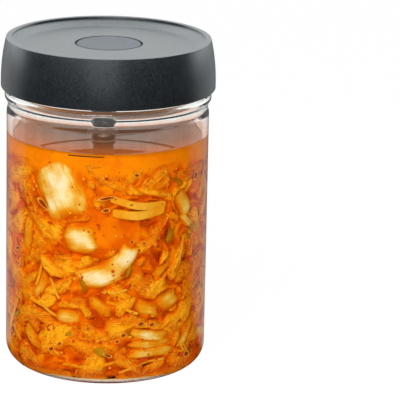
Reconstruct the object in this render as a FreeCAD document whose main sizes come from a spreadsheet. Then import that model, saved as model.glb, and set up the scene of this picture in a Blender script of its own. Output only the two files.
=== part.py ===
"""Fermentation jar: a straight glass jar filled with kimchi, under a moulded screw lid with a valve.

Millimetres, +Z up. The origin is the middle of the foot that the jar stands on, and Z is the jar's axis.
Every piece is turned about that axis from a half section whose corners and arcs are bound to the sheet.
"""

import FreeCAD, Part
import math
import os

from FreeCAD import Vector
import Sketcher

doc = FreeCAD.newDocument("fermentation_jar")
sheet = doc.addObject("Spreadsheet::Sheet", "Sizes")

# Driving dimensions: alias, value, what it is.
DIMENSIONS = [
    ("total_height", 178.8, "foot to the rim of the lid"),
    # glass
    ("glass_radius", 54.0, "outside of the straight body"),
    ("glass_wall", 3.0, "body wall"),
    ("glass_base", 4.0, "floor of the jar, at its middle"),
    ("heel_radius", 11.3, "outer corner between body and foot"),
    ("heel_inner_radius", 8.5, "inner corner between wall and floor"),
    ("foot_width", 6.7, "flat ring that the jar stands on, inside the heel"),
    ("punt_depth", 1.0, "hollow under the floor, inside that ring"),
    ("bead_height", 6.0, "ring of glass just under the lid"),
    ("bead_rise", 1.4, "round of the bead over its own chord"),
    ("groove_height", 5.2, "shallow groove under the bead"),
    ("groove_depth", 0.5, "depth of that groove"),
    ("neck_wall", 2.4, "wall of the neck, inside the lid"),
    ("rim_round", 0.7, "fire-polished corners of the rim"),
    # lid
    ("lid_height", 26.8, "lower edge to rim of the lid"),
    ("lid_gap", 1.0, "bead to the lower edge of the lid"),
    ("lid_overhang", 3.2, "skirt outside the glass body"),
    ("lid_taper", 2.75, "how far the side curves in at the top"),
    ("lid_straight", 3.2, "straight stretch of the side, from the lower edge"),
    ("lid_edge_round", 0.8, "outer corner of the lower edge"),
    ("lid_rim_width", 2.8, "flat band round the top"),
    ("lid_rim_step", 1.3, "steep step inside that band"),
    ("lid_step_slope", 0.35, "how far that step leans in"),
    ("dish_depth", 3.4, "rim of the lid to its sunk top plate"),
    ("dish_fillet", 6.0, "width of the hollow curve down to the plate"),
    ("plate_thickness", 3.2, "top plate"),
    ("skirt_clearance", 0.4, "neck of the glass to the inside of the skirt"),
    # valve
    ("valve_radius", 17.1, "valve disc in the middle of the lid"),
    ("valve_gap", 0.45, "running gap round the disc"),
    ("valve_thickness", 1.9, "disc"),
    ("valve_round", 0.35, "upper corner of the disc"),
    # press
    ("press_offset", 2.2, "how far the press hangs to the left of the axis"),
    ("stem_radius", 6.6, "plastic stem under the lid"),
    ("stem_length", 38.2, "plate of the lid to the knob"),
    ("stem_chamfer", 0.5, "lower corner of the stem"),
    ("knob_radius", 6.7, "steel knob at its widest"),
    ("knob_top_radius", 5.9, "flat top of the knob"),
    ("knob_crown", 1.2, "top of the knob to its widest"),
    ("knob_bowl", 2.6, "widest to the shank"),
    ("shank_radius", 4.85, "shank that goes into the brine"),
    ("shank_length", 9.0, "shank"),
    # contents
    ("headspace", 44.7, "plate of the lid to the brine"),
]

for row, (alias, value, meaning) in enumerate(DIMENSIONS, start=1):
    sheet.set(f"A{row}", meaning)
    sheet.set(f"B{row}", str(value))
    sheet.setAlias(f"B{row}", alias)
doc.recompute()


def sized(text):
    """The expression that FreeCAD reads: each {alias} in text becomes that alias's cell of the sheet."""
    return text.replace("{", "Sizes.").replace("}", "")


# Heights and radii that more than one piece needs, each worked out from the sheet.
PLATE_TOP = "({total_height} - {dish_depth})"
PLATE_UNDER = "({total_height} - {dish_depth} - {plate_thickness})"
LID_LOW = "({total_height} - {lid_height})"
BEAD_TOP = "({total_height} - {lid_height} - {lid_gap})"
BEAD_LOW = "({total_height} - {lid_height} - {lid_gap} - {bead_height})"
FOOT_INNER = "({glass_radius} - {heel_radius} - {foot_width})"
INSIDE = "({glass_radius} - {glass_wall})"
NECK = "({glass_radius} - {glass_wall} + {neck_wall})"
LID_OUTSIDE = "({glass_radius} + {lid_overhang})"
POCKET_FLOOR = "({total_height} - {dish_depth} - {valve_thickness})"
BRINE = "({total_height} - {dish_depth} - {plate_thickness} - {headspace})"


def bulge(chord, rise):
    """Radius of an arc over a chord with this rise, both given as expressions."""
    return f"((({chord}) / 2)^2 + ({rise})^2) / (2 * ({rise}))"


def curve_in(run, rise):
    """Radius of an arc that leaves a straight line smoothly and strays by rise over run."""
    return f"(({run})^2 + ({rise})^2) / (2 * ({rise}))"


def origin_plane(body, role):
    """The body's own origin plane with this role."""
    return [f for f in body.Origin.OriginFeatures if f.Role == role][0]


def turned(label, corners):
    """A body turned about Z from its half section.

    corners go round the section: (radius, height), or (radius, height, arc, side) when the edge that
    leads to the corner is an arc of radius arc. side is +1 when its centre lies to the left of the way
    there and -1 when it lies to the right. The sizes are expressions, and "0" is on an axis.
    """
    body = doc.addObject("PartDesign::Body", label)
    body.Label = label
    sketch = body.newObject("Sketcher::SketchObject", f"{label}_section")
    sketch.AttachmentSupport = [(origin_plane(body, "XZ_Plane"), "")]
    sketch.MapMode = "FlatFace"

    points = []
    for corner in corners:
        across, height = (float(sheet.evalExpression(sized(text))) for text in corner[:2])
        points.append(Vector(across, height, 0))

    starts = []
    for i, corner in enumerate(corners):
        begin, end = points[i - 1], points[i]
        if len(corner) == 2:
            sketch.addGeometry(Part.LineSegment(begin, end), False)
            starts.append(1)
            continue
        radius = float(sheet.evalExpression(sized(corner[2])))
        half = (end - begin) * 0.5
        left = Vector(-half.y, half.x, 0).normalize()
        centre = begin + half + left * (corner[3] * max(radius**2 - half.Length**2, 0.0) ** 0.5)
        # an arc runs anticlockwise, so one that turns right is drawn from its far end
        first, last = (begin, end) if corner[3] > 0 else (end, begin)
        start_angle = math.atan2(first.y - centre.y, first.x - centre.x)
        sweep = (math.atan2(last.y - centre.y, last.x - centre.x) - start_angle) % (2 * math.pi)
        circle = Part.Circle(centre, Vector(0, 0, 1), radius)
        sketch.addGeometry(Part.ArcOfCircle(circle, start_angle, start_angle + sweep), False)
        starts.append(1 if corner[3] > 0 else 2)

    for i in range(len(corners)):
        following = (i + 1) % len(corners)
        sketch.addConstraint(Sketcher.Constraint("Coincident", i, 3 - starts[i], following, starts[following]))

    for i, corner in enumerate(corners):
        place = 3 - starts[i]
        if corner[0] == "0":
            sketch.addConstraint(Sketcher.Constraint("PointOnObject", i, place, -2))
        else:
            index = sketch.addConstraint(Sketcher.Constraint("DistanceX", -1, 1, i, place, points[i].x))
            sketch.setExpression(f"Constraints[{index}]", sized(corner[0]))
        if corner[1] == "0":
            sketch.addConstraint(Sketcher.Constraint("PointOnObject", i, place, -1))
        else:
            index = sketch.addConstraint(Sketcher.Constraint("DistanceY", -1, 1, i, place, points[i].y))
            sketch.setExpression(f"Constraints[{index}]", sized(corner[1]))
        if len(corner) > 2:
            index = sketch.addConstraint(Sketcher.Constraint("Radius", i, sketch.Geometry[i].Radius))
            sketch.setExpression(f"Constraints[{index}]", sized(corner[2]))

    turn = body.newObject("PartDesign::Revolution", f"{label}_turn")
    turn.Profile = sketch
    turn.ReferenceAxis = (sketch, ["V_Axis"])
    turn.Angle = 360
    body.Tip = turn
    doc.recompute()
    return body


def glass_jar():
    """Pressed glass: foot ring, rounded heel, straight body, groove, bead, and the neck inside the lid."""
    return turned(
        "glass_jar",
        [
            ("0", "{punt_depth}"),
            (FOOT_INNER, "0", curve_in(FOOT_INNER, "{punt_depth}"), -1),
            ("{glass_radius} - {heel_radius}", "0"),
            ("{glass_radius}", "{heel_radius}", "{heel_radius}", 1),
            ("{glass_radius}", BEAD_LOW + " - {groove_height}"),
            ("{glass_radius}", BEAD_LOW, bulge("{groove_height}", "{groove_depth}"), -1),
            (NECK, BEAD_TOP, bulge("{bead_height}", "{bead_rise}"), 1),
            (NECK, PLATE_UNDER + " - {rim_round}"),
            (NECK + " - {rim_round}", PLATE_UNDER, "{rim_round}", 1),
            (INSIDE + " + {rim_round}", PLATE_UNDER),
            (INSIDE, PLATE_UNDER + " - {rim_round}", "{rim_round}", 1),
            (INSIDE, "{glass_base} + {heel_inner_radius}"),
            (INSIDE + " - {heel_inner_radius}", "{glass_base}", "{heel_inner_radius}", -1),
            ("0", "{glass_base}"),
        ],
    )


def lid():
    """Moulded plastic cap: curved side, flat rim band, sunk plate with a pocket for the valve, skirt."""
    rim = LID_OUTSIDE + " - {lid_taper}"
    step = rim + " - {lid_rim_width}"
    fillet_drop = "({dish_depth} - {lid_rim_step})"
    side = "({lid_height} - {lid_straight})"
    pocket = "{valve_radius} + {valve_gap}"
    return turned(
        "lid",
        [
            (NECK + " + {skirt_clearance}", LID_LOW),
            (LID_OUTSIDE + " - {lid_edge_round}", LID_LOW),
            (LID_OUTSIDE, LID_LOW + " + {lid_edge_round}", "{lid_edge_round}", 1),
            (LID_OUTSIDE, LID_LOW + " + {lid_straight}"),
            (rim, "{total_height}", curve_in(side, "{lid_taper}"), 1),
            (step, "{total_height}"),
            (step + " - {lid_step_slope}", "{total_height} - {lid_rim_step}"),
            (
                step + " - {lid_step_slope} - {dish_fillet}",
                PLATE_TOP,
                curve_in("{dish_fillet}", fillet_drop),
                -1,
            ),
            (pocket, PLATE_TOP),
            (pocket, POCKET_FLOOR),
            ("0", POCKET_FLOOR),
            ("0", PLATE_UNDER),
            (NECK + " + {skirt_clearance}", PLATE_UNDER),
        ],
    )


def valve_disc():
    """Silicone disc that lies in the pocket of the lid, flush with the plate."""
    return turned(
        "valve_disc",
        [
            ("0", POCKET_FLOOR),
            ("{valve_radius}", POCKET_FLOOR),
            ("{valve_radius}", PLATE_TOP + " - {valve_round}"),
            ("{valve_radius} - {valve_round}", PLATE_TOP, "{valve_round}", 1),
            ("0", PLATE_TOP),
        ],
    )


def press_stem():
    """Dark plastic stem that hangs from the plate of the lid."""
    low = PLATE_UNDER + " - {stem_length}"
    return turned(
        "press_stem",
        [
            ("0", low),
            ("{stem_radius} - {stem_chamfer}", low),
            ("{stem_radius}", low + " + {stem_chamfer}"),
            ("{stem_radius}", PLATE_UNDER),
            ("0", PLATE_UNDER),
        ],
    )


def press_knob():
    """Turned steel knob under the stem: flat top, rounded crown, bowl, and the shank in the brine."""
    top = PLATE_UNDER + " - {stem_length}"
    widest = top + " - {knob_crown}"
    neck = widest + " - {knob_bowl}"
    crown = curve_in("{knob_crown}", "({knob_radius} - {knob_top_radius})")
    bowl = curve_in("{knob_bowl}", "({knob_radius} - {shank_radius})")
    return turned(
        "press_knob",
        [
            ("0", neck + " - {shank_length}"),
            ("{shank_radius}", neck + " - {shank_length}"),
            ("{shank_radius}", neck),
            ("{knob_radius}", widest, bowl, 1),
            ("{knob_top_radius}", top, crown, 1),
            ("0", top),
        ],
    )


def kimchi(stem, knob):
    """Cabbage and brine up to the fill level, against the glass all over and cut round the press."""
    fill = turned(
        "kimchi_fill",
        [
            ("0", "{glass_base}"),
            (INSIDE + " - {heel_inner_radius}", "{glass_base}"),
            (INSIDE, "{glass_base} + {heel_inner_radius}", "{heel_inner_radius}", 1),
            (INSIDE, BRINE),
            ("0", BRINE),
        ],
    )
    press = doc.addObject("Part::MultiFuse", "press")
    press.Shapes = [stem, knob]
    cut = doc.addObject("Part::Cut", "kimchi")
    cut.Label = "kimchi"
    cut.Base = fill
    cut.Tool = press
    return cut


jar_piece = glass_jar()
lid_piece = lid()
valve_piece = valve_disc()
stem_piece = press_stem()
knob_piece = press_knob()
for hung in (stem_piece, knob_piece):
    hung.setExpression("Placement.Base.x", sized("-{press_offset}"))
contents = kimchi(stem_piece, knob_piece)
doc.recompute()

pieces = [jar_piece, lid_piece, valve_piece, stem_piece, knob_piece, contents]

failed = [o.Label for o in doc.Objects if "Invalid" in o.State or "Error" in o.State]
for piece in pieces:
    if piece.Shape.isNull() or not piece.Shape.isValid() or not piece.Shape.Solids:
        failed.append(piece.Label)
if failed:
    raise RuntimeError(f"these did not build: {failed}")

os.makedirs("parts", exist_ok=True)
for piece in pieces:
    piece.Shape.exportStep(f"parts/{piece.Label}.step")
    print(f"{piece.Label}: {len(piece.Shape.Solids)} solid, {piece.Shape.Volume / 1000:.1f} cm3")
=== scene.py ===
"""Fermentation jar: a straight glass jar of kimchi in its orange brine, under a charcoal screw lid.

The sections follow the object as it is put together: glass, brine, packed cabbage and all that is
sunk in it, lid, valve, press, print. Shapes are worked out in millimetres and turned to metres when
a mesh is made. The jar's axis is Z, the foot stands on z = 0, and -Y is the front.
"""

import bmesh
import bpy
import math
import numpy as np
from mathutils import Matrix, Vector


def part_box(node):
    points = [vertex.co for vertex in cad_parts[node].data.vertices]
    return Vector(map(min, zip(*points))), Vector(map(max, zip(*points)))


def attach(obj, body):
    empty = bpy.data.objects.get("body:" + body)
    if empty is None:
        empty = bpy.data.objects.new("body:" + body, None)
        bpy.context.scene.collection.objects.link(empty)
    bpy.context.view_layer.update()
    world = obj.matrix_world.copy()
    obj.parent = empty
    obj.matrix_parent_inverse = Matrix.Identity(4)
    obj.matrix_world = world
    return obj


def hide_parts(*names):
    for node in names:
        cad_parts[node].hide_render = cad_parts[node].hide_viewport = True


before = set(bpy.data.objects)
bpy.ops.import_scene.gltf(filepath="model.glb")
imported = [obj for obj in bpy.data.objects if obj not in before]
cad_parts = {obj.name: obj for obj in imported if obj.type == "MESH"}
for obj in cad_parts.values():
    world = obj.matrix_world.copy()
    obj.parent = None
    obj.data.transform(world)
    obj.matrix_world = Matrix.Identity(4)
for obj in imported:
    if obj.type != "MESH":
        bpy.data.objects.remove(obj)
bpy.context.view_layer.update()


# ----------------------------------------------------------
# Glass jar. Pressed soda-lime glass: a straight body with a round heel, a shallow groove and a
# rolled bead under the lid, and a thinner neck that carries the lid. The rim is fire-polished.

MM = 0.001
GLASS_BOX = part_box("glass_jar")
LID_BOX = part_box("lid")
FILL_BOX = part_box("kimchi")
NECK_TOP = GLASS_BOX[1].z / MM
LID_LOW = LID_BOX[0].z / MM
INSIDE = FILL_BOX[1].x / MM
FLOOR = FILL_BOX[0].z / MM
GLASS_WALL = 3.0
BODY = INSIDE + GLASS_WALL
NECK_WALL = 2.4
NECK = INSIDE + NECK_WALL
HEEL = 11.3
HEEL_INSIDE = 8.5
FOOT_WIDTH = 6.7
PUNT = 1.0
BEAD_LOW = LID_LOW - 7.0
# Knots of the collar: height over the bead's foot, and how far the glass stands outside the body.
COLLAR = [
    (-6.4, 0), (-5.4, -0.1), (-3.6, -0.55), (-2.2, -0.55), (-0.8, -0.25), (0.4, 0.15), (1.2, 0.75),
    (2.0, 1.08), (3.4, 1.05), (4.4, 0.6), (5.2, -0.2), (5.7, -0.5), (6.3, -0.4), (7.0, -0.1), (8.0, 0.1),
]
RIM_ROUND = 0.7
FOOT_ROUND = 0.5
FLAT_FLOOR = INSIDE - HEEL_INSIDE - 12
BRINE_LEVEL = FILL_BOX[1].z / MM
# Brine wets the wall from WET_LOW up to FILM_LOW. Above that the faces have a film up to FILM_END, which
# fades out at FILM_TOP. Below FOOT_FILM the faces of the foot get the same tint, as painted orange light.
WET_LOW = FLOOR + 1.0
FILM_LOW = BRINE_LEVEL + 0.2
FILM_TOP = BEAD_LOW + 1.0
FILM_END = FILM_TOP + 3
FOOT_FILM = FLOOR - 1.2
AWAY_FROM_AXIS = 20
TURN_STEPS = 192


def arc(centre, radius, start, stop, steps=12):
    """Points of a round corner: centre + radius (cos t, sin t), with t from start to stop degrees."""
    t = np.radians(np.linspace(start, stop, steps))
    return np.column_stack((centre[0] + radius * np.cos(t), centre[1] + radius * np.sin(t)))


def through(knots, steps=6):
    """A smooth curve through knots: Catmull-Rom, each tangent half the chord of its neighbours."""
    k = np.asarray(knots, float)
    ends = np.vstack((2 * k[0] - k[1], k, 2 * k[-1] - k[-2]))
    t = np.linspace(0, 1, steps, endpoint=False)[:, None, None]
    a, b, c, d = ends[:-3], ends[1:-2], ends[2:-1], ends[3:]
    curve = b + 0.5 * t * (c - a + t * (2 * a - 5 * b + 4 * c - d + t * (3 * (b - c) + d - a)))
    return np.vstack((curve.transpose(1, 0, 2).reshape(-1, k.shape[1]), k[-1]))


def grid_faces(rows, columns, closed=True):
    """Quads of a grid of points numbered row by row; closed joins the last column to the first."""
    i, j = np.meshgrid(np.arange(rows - 1), np.arange(columns if closed else columns - 1), indexing="ij")
    k = (j + 1) % columns
    low, high = i * columns, (i + 1) * columns
    return np.stack((low + j, low + k, high + k, high + j), -1).reshape(-1, 4)


def make_piece(name, points, faces, material, uv=None, merge=True, crease=40):
    """A mesh object at the origin from arrays in mm. uv holds one pair for each point.

    merge joins doubled points, which closes poles and seams, and turns the faces outwards. Edges
    sharper than crease degrees stay hard.
    """
    mesh = bpy.data.meshes.new(name)
    mesh.from_pydata(np.asarray(points) * MM, [], np.asarray(faces).tolist())
    if uv is not None:
        corners = np.zeros(len(mesh.loops), np.int32)
        mesh.loops.foreach_get("vertex_index", corners)
        pairs = np.asarray(uv, np.float32)[corners]
        mesh.uv_layers.new(name="surface").data.foreach_set("uv", pairs.ravel())
    if merge:
        shell = bmesh.new()
        shell.from_mesh(mesh)
        bmesh.ops.remove_doubles(shell, verts=shell.verts, dist=0.002 * MM)
        bmesh.ops.recalc_face_normals(shell, faces=shell.faces)
        shell.to_mesh(mesh)
        shell.free()
    mesh.polygons.foreach_set("use_smooth", np.ones(len(mesh.polygons), bool))
    mesh.set_sharp_from_angle(angle=math.radians(crease))
    mesh.materials.append(material)
    made = bpy.data.objects.new(name, mesh)
    bpy.context.scene.collection.objects.link(made)
    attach(made, "root")
    return made


def read_faces(mesh, name):
    """One row of three numbers for each face: its "center" or its "normal"."""
    rows = np.zeros(len(mesh.polygons) * 3)
    mesh.polygons.foreach_get(name, rows)
    return rows.reshape(-1, 3)


def turned(outline, steps=TURN_STEPS, centre=0.0):
    """Points and faces of an outline of (radius, height) swept round the axis: (r cos a, r sin a, z)."""
    outline = np.asarray(outline, float)
    a = np.linspace(0, 2 * np.pi, steps, endpoint=False)
    r, z = outline[:, :1], outline[:, 1:]
    points = np.stack((centre + r * np.cos(a), r * np.sin(a), z + 0 * a), -1).reshape(-1, 3)
    return points, grid_faces(len(outline), steps)


def srgb(code):
    """Linear colour of a hex code: a channel c is ((c + 0.055) / 1.055) ^ 2.4, or c / 12.92 if dark."""
    channels = np.array([int(code[i:i + 2], 16) / 255 for i in (1, 3, 5)])
    linear = np.where(channels > 0.04045, ((channels + 0.055) / 1.055) ** 2.4, channels / 12.92)
    return (*linear.tolist(), 1.0)


def add(tree, kind, inputs=None, stops=(), **settings):
    """Adds one shader node. settings are its own properties, stops a colour ramp's positions and codes.

    An input gets a value, a link to a socket, or a link to the first output of a node.
    """
    node = tree.nodes.new("ShaderNode" + kind)
    for name, value in settings.items():
        setattr(node, name, value)
    for k, (position, code) in enumerate(stops):
        elements = node.color_ramp.elements
        element = elements[k] if k < len(elements) else elements.new(position)
        element.position = position
        element.color = srgb(code)
    for socket, value in (inputs or {}).items():
        if isinstance(value, bpy.types.Node):
            value = value.outputs[0]
        if isinstance(value, bpy.types.NodeSocket):
            tree.links.new(value, node.inputs[socket])
        else:
            node.inputs[socket].default_value = value
    return node


def new_material(name):
    """An empty node material, and its tree."""
    made = bpy.data.materials.new(name)
    made.use_nodes = True
    made.node_tree.nodes.clear()
    return made, made.node_tree


def clear_for_lamps(tree, surface, volume=None):
    """Ends a clear material: lamps and diffuse light pass straight through, and eyes see surface."""
    path = add(tree, "LightPath")
    soft = add(tree, "Math", {0: path.outputs["Is Shadow Ray"], 1: path.outputs["Is Diffuse Ray"]},
               operation="MAXIMUM")
    passing = add(tree, "BsdfTransparent")
    both = add(tree, "MixShader", {0: soft, 1: surface, 2: passing})
    links = {"Surface": both}
    if volume:
        links["Volume"] = volume
    add(tree, "OutputMaterial", links)


# Clear soda-lime glass, IOR 1.5, fire-polished smooth.
glass, tree = new_material("soda_lime_glass")
clear = add(tree, "BsdfGlass", {"Color": srgb("#FDFFFE"), "Roughness": 0.0, "IOR": 1.5})
clear_for_lamps(tree, clear)

# Where brine wets the inside there is no air between the two, so this face only bends the light.
wetted, tree = new_material("wetted_glass")
bend = add(tree, "BsdfRefraction", {"Color": srgb("#FFFFFF"), "Roughness": 0.0, "IOR": 1.5})
clear_for_lamps(tree, bend)

# Above the brine its splashes leave a thin film of chili oil in drops and runs 4 mm wide, which fades out
# towards the bead. The foot has the same tint, painted on: it stands in for the orange light of the brine
# that shows in the foot.
filmed, tree = new_material("filmed_glass_painted_foot")
place = add(tree, "TexCoord")
runs = add(tree, "Mapping", {0: place.outputs["Object"], "Scale": (220, 220, 40)})
drops = add(tree, "TexNoise", {"Vector": runs, "Scale": 1.0, "Detail": 3.0})
apart = add(tree, "SeparateXYZ", {0: place.outputs["Object"]})
climb = add(tree, "MapRange", {0: apart.outputs["Z"], 1: BRINE_LEVEL * MM, 2: FILM_TOP * MM})
ragged = add(tree, "Math", {0: drops, 1: 0.5, 2: -0.25}, operation="MULTIPLY_ADD")
height = add(tree, "Math", {0: climb, 1: ragged})
tint = add(tree, "ValToRGB", {0: height}, stops=[(0.0, "#F4C8B4"), (1.0, "#FDFFFE")])
clear = add(tree, "BsdfGlass", {"Color": tint, "Roughness": 0.0, "IOR": 1.5})
clear_for_lamps(tree, clear)

heel_centre = (BODY - HEEL, HEEL)
inner_centre = (INSIDE - HEEL_INSIDE, FLOOR + HEEL_INSIDE)
foot_inner = BODY - HEEL - FOOT_WIDTH
outer_side = np.vstack((
    [(0, PUNT), (foot_inner - 3, PUNT)],
    arc((foot_inner - FOOT_ROUND, PUNT - FOOT_ROUND), FOOT_ROUND, 90, 0, 5),
    [(foot_inner, 0.1), (foot_inner + 0.1, 0)],
    arc(heel_centre, HEEL, -90, 0, 28),
    np.column_stack((np.full(30, BODY), np.linspace(HEEL + 3, BEAD_LOW - 8, 30))),
    through([(BODY + out, BEAD_LOW + up) for up, out in COLLAR], 5),
    [(NECK, BEAD_LOW + 10), (NECK, NECK_TOP - 5)],
    arc((NECK - RIM_ROUND, NECK_TOP - RIM_ROUND), RIM_ROUND, 0, 90, 8),
))
inner_side = np.vstack((
    arc((INSIDE + RIM_ROUND, NECK_TOP - RIM_ROUND), RIM_ROUND, 90, 180, 8),
    np.column_stack((np.full(12, INSIDE), np.linspace(NECK_TOP - 4, BRINE_LEVEL + 0.6, 12))),
    np.column_stack((np.full(30, INSIDE), np.linspace(BRINE_LEVEL + 0.25, FLOOR + HEEL_INSIDE + 3, 30))),
    arc(inner_centre, HEEL_INSIDE, 0, -90, 22),
    [(FLAT_FLOOR, FLOOR), (0, FLOOR)],
))
points, faces = turned(np.vstack((outer_side, inner_side)))
jar = make_piece("jar_glass", points, faces, glass, crease=60)
jar.data.materials.append(wetted)
jar.data.materials.append(filmed)
centres = read_faces(jar.data, "center") / MM
ways = read_faces(jar.data, "normal")
rise = centres[:, 2]
lining = (ways[:, :2] * centres[:, :2]).sum(1) < 0
lining &= np.hypot(centres[:, 0], centres[:, 1]) > AWAY_FROM_AXIS
is_wet = lining & (rise < FILM_LOW) & (rise > WET_LOW)
# The foot's faces take the film's tint as painted orange light, not as a film.
is_filmed = lining & (rise >= FILM_LOW) & (rise < FILM_END) | (rise < FOOT_FILM)
jar.data.polygons.foreach_set("material_index", is_wet.astype(np.int32) + 2 * is_filmed.astype(np.int32))
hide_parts("glass_jar")


# ----------------------------------------------------------
# Brine. Salt water, orange from the chili paste, that fills the jar up to the printed line. It
# wets the glass, so it reaches just into the wall and climbs a little where it meets it.

BRINE_REACH = 0.15
MENISCUS = 0.3
MENISCUS_WIDTH = 0.6
BRINE_COLOUR = (0.985, 0.91, 0.4, 1)
BRINE_DENSITY = 380.0
BRINE_IOR = 1.34

brine_side = INSIDE + BRINE_REACH
r = brine_side - np.array([0, 0.3, 0.7, 1.2, 1.8, 2.6, 3.6, 5.0, 7.0, 12.0, 20.0, 35.0, brine_side])
top = np.column_stack((r, BRINE_LEVEL + MENISCUS * np.exp((r - brine_side) / MENISCUS_WIDTH)))
outline = np.vstack((
    [(0, FLOOR - BRINE_REACH), (FLAT_FLOOR, FLOOR - BRINE_REACH)],
    arc(inner_centre, HEEL_INSIDE + BRINE_REACH, -90, 0, 22),
    np.column_stack((np.full(30, brine_side), np.linspace(FLOOR + HEEL_INSIDE + 3, BRINE_LEVEL, 30))),
    top,
))
points, faces = turned(outline)

# Salt water. Chili oil and paste take the blue and some of the green out of what shines through.
brine, tree = new_material("chili_brine")
bend = add(tree, "BsdfRefraction", {"Color": srgb("#FFFFFF"), "Roughness": 0.0, "IOR": BRINE_IOR})
stain = add(tree, "VolumeAbsorption", {"Color": BRINE_COLOUR, "Density": BRINE_DENSITY})
clear_for_lamps(tree, bend, stain)

# Its open face mirrors the room, and a thin film of foam and oil makes it a little milky.
surface, tree = new_material("chili_brine_surface")
water = add(tree, "BsdfGlass", {"Color": srgb("#FFFFFF"), "Roughness": 0.02, "IOR": BRINE_IOR})
film = add(tree, "BsdfDiffuse", {"Color": srgb("#D88860")})
sheen = add(tree, "BsdfGlossy", {"Color": srgb("#FFF4EC"), "Roughness": 0.03})
oily = add(tree, "MixShader", {0: 0.1, 1: water, 2: sheen})
milky = add(tree, "MixShader", {0: 0.12, 1: oily, 2: film})
stain = add(tree, "VolumeAbsorption", {"Color": BRINE_COLOUR, "Density": BRINE_DENSITY})
clear_for_lamps(tree, milky, stain)

liquid = make_piece("brine", points, faces, brine, crease=80)
liquid.data.materials.append(surface)
is_top = read_faces(liquid.data, "normal")[:, 2] > 0.3
liquid.data.polygons.foreach_set("material_index", is_top.astype(np.int32))
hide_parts("kimchi")


# ----------------------------------------------------------
# Packed kimchi. Salted cabbage pressed down so tight that its folds fill the jar; the paste
# between them makes the brine cloudy, so nothing is seen deeper than this body.

PACK_DEPTH = 3.9
CLOUD_DEPTH = 1.2
PACK_TOP = BRINE_LEVEL - 9.0
# A pocket of clear paste at the front: place along the wall, height, half its width and height.
CALM = (-1.0, 84.0, 14.0, 9.5)
CALM_DEPTH = 2.4
PACK_SKIN = 0.15
PACK_COLUMNS = 420
PACK_ROWS = 220


def wall_radius(z):
    """Inner radius of the jar at height z: straight above the heel, a quarter round below."""
    low = np.clip(inner_centre[1] - z, 0, HEEL_INSIDE)
    return inner_centre[0] + np.sqrt(HEEL_INSIDE ** 2 - low ** 2)


def on_wall(arc_length, z, depth):
    """The point at a distance along the wall from the front, at height z, and depth mm inside it."""
    a = arc_length / INSIDE
    r = wall_radius(z) - depth
    return np.stack((r * np.sin(a), -r * np.cos(a), z + 0 * a), -1)


def uneven(s, z, cell, seed):
    """Smooth random field on the wall, -1 to 1: lattice values cell mm apart, blended by smoothstep."""
    around = max(3, round(2 * math.pi * INSIDE / cell))
    table = np.random.default_rng(seed).uniform(-1, 1, (around, int(200 / cell) + 4))
    x = s / (2 * math.pi * INSIDE) % 1 * around
    y = np.clip(z / cell + 1, 0, table.shape[1] - 2)
    i, j = np.floor(x).astype(int), np.floor(y).astype(int)
    fx, fy = (t * t * (3 - 2 * t) for t in (x - i, y - j))
    i0, i1 = i % around, (i + 1) % around
    low = table[i0, j] * (1 - fx) + table[i1, j] * fx
    high = table[i0, j + 1] * (1 - fx) + table[i1, j + 1] * fx
    return low * (1 - fy) + high * fy


s, z = np.meshgrid(
    np.linspace(0, 2 * np.pi * INSIDE, PACK_COLUMNS, endpoint=False),
    np.linspace(FLOOR + PACK_SKIN, BRINE_LEVEL - PACK_SKIN, PACK_ROWS),
)
# Folds about 9 mm wide and crimps about 4 mm wide, on a net that two slow drifts pull out of line.
drift_s = s + 7 * uneven(s, z, 23, 1) + 2 * uneven(s, z, 9, 2)
drift_z = z + 6 * uneven(s, z, 19, 3) + 2 * uneven(s, z, 8, 4)
folds = 1 - np.abs(uneven(drift_s, drift_z * 1.6, 9, 5)) * 1.7
crimps = 1 - np.abs(uneven(drift_s, drift_z, 4.2, 6)) * 1.8
relief = 1.1 * folds + 0.6 * crimps + 0.25 * uneven(s, z, 2.1, 7)
packed = np.clip((PACK_TOP + 3 * uneven(s, z, 17, 8) - z) / 5, 0, 1)
turn_s = (s / INSIDE + np.pi) % (2 * np.pi) * INSIDE - np.pi * INSIDE
calm = np.clip(1.5 - np.hypot((turn_s - CALM[0]) / CALM[2], (z - CALM[1]) / CALM[3]), 0, 1)
depth = CLOUD_DEPTH * (1 - packed) + packed * (PACK_DEPTH - 1.5 * relief)
depth = depth * (1 - calm) + CALM_DEPTH * calm
side = on_wall(s, z, np.clip(depth, 0.5, 8))
# Rings that shrink to the axis close the body at both ends.
cap_r = np.array([0.9, 0.5, 0.0])[:, None]
low_cap, top_cap = (
    np.stack((edge[:, 0] * cap_r, edge[:, 1] * cap_r, np.full((3, PACK_COLUMNS), level)), -1)
    for edge, level in ((side[0], FLOOR + PACK_SKIN), (side[-1], BRINE_LEVEL - PACK_SKIN))
)
points = np.concatenate((low_cap[::-1], side, top_cap)).reshape(-1, 3)
faces = grid_faces(PACK_ROWS + 6, PACK_COLUMNS)


def depth_in_brine(tree):
    """Depth in mm under the nearest face of the brine: wall, INSIDE - |(x, y)|, top or floor."""
    place = add(tree, "TexCoord")
    flat = add(tree, "VectorMath", {0: place.outputs["Object"], 1: (1, 1, 0)}, operation="MULTIPLY")
    length = add(tree, "VectorMath", {0: flat}, operation="LENGTH")
    wall = add(tree, "Math", {0: length.outputs["Value"], 1: -1 / MM, 2: INSIDE}, operation="MULTIPLY_ADD")
    apart = add(tree, "SeparateXYZ", {0: place.outputs["Object"]})
    top = add(tree, "Math", {0: apart.outputs["Z"], 1: -1 / MM, 2: BRINE_LEVEL}, operation="MULTIPLY_ADD")
    low = add(tree, "Math", {0: apart.outputs["Z"], 1: 1 / MM, 2: -FLOOR}, operation="MULTIPLY_ADD")
    either = add(tree, "Math", {0: top, 1: low}, operation="MINIMUM")
    return add(tree, "Math", {0: wall, 1: either}, operation="MINIMUM")


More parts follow.
